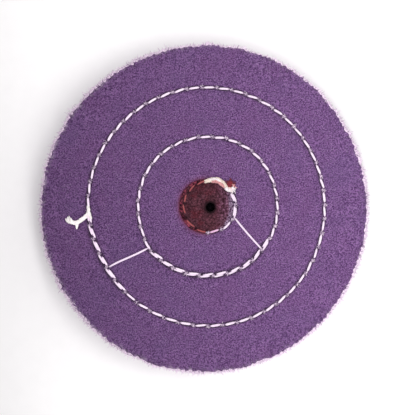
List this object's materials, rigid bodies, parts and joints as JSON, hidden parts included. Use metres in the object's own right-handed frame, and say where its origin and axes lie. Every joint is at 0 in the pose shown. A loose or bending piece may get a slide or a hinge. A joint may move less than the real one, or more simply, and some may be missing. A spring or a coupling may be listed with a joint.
{
  "type": "sewn cloth polishing wheel",
  "caption": "Round sewn cloth polishing wheel: a stack of dyed cotton plies between leather centre washers with a pinhole, stitched in concentric rows, for a tapered spindle.",
  "frame": {"origin": "on the axis of the pinhole, which is the spin axis, halfway through the wheel's thickness", "axes": "+Z along the spin axis, out of the front face, the one with the thread's loose tail; X and Y in the plane of the cloth; the wheel lies flat with its back face down"},
  "size_m": [0.1001, 0.0999, 0.014],
  "materials": {
    "purple_cotton": "dyed, treated cotton sheeting with a matt, suede-like face and frayed pale edges",
    "red_brown_leather": "dyed split leather, matt, darker and dished round the pinhole, redder at its cut edge",
    "white_thread": "white spun cotton sewing thread"
  },
  "bodies": {
    "root": {"cloth_ply_01": "purple_cotton", "cloth_ply_02": "purple_cotton", "cloth_ply_03": "purple_cotton", "cloth_ply_04": "purple_cotton", "cloth_ply_05": "purple_cotton", "cloth_ply_06": "purple_cotton", "cloth_ply_07": "purple_cotton", "cloth_ply_08": "purple_cotton", "cloth_ply_09": "purple_cotton", "cloth_ply_10": "purple_cotton", "cloth_ply_11": "purple_cotton", "cloth_ply_12": "purple_cotton", "cloth_ply_13": "purple_cotton", "cloth_ply_14": "purple_cotton", "cloth_ply_15": "purple_cotton", "cloth_ply_16": "purple_cotton", "cloth_ply_17": "purple_cotton", "cloth_ply_18": "purple_cotton", "cloth_ply_19": "purple_cotton", "cloth_ply_20": "purple_cotton", "cloth_ply_21": "purple_cotton", "cloth_ply_22": "purple_cotton", "cloth_ply_23": "purple_cotton", "cloth_ply_24": "purple_cotton", "cloth_ply_25": "purple_cotton", "cloth_ply_26": "purple_cotton", "cloth_ply_27": "purple_cotton", "cloth_ply_28": "purple_cotton", "cloth_ply_29": "purple_cotton", "cloth_ply_30": "purple_cotton", "cloth_ply_31": "purple_cotton", "cloth_ply_32": "purple_cotton", "cloth_ply_33": "purple_cotton", "cloth_ply_34": "purple_cotton", "cloth_ply_35": "purple_cotton", "cloth_ply_36": "purple_cotton", "cloth_ply_37": "purple_cotton", "cloth_ply_38": "purple_cotton", "cloth_ply_39": "purple_cotton", "cloth_ply_40": "purple_cotton", "front_leather_washer": "red_brown_leather", "back_leather_washer": "red_brown_leather", "needle_thread": "white_thread", "bobbin_thread": "white_thread"}
  },
  "joints": []
}
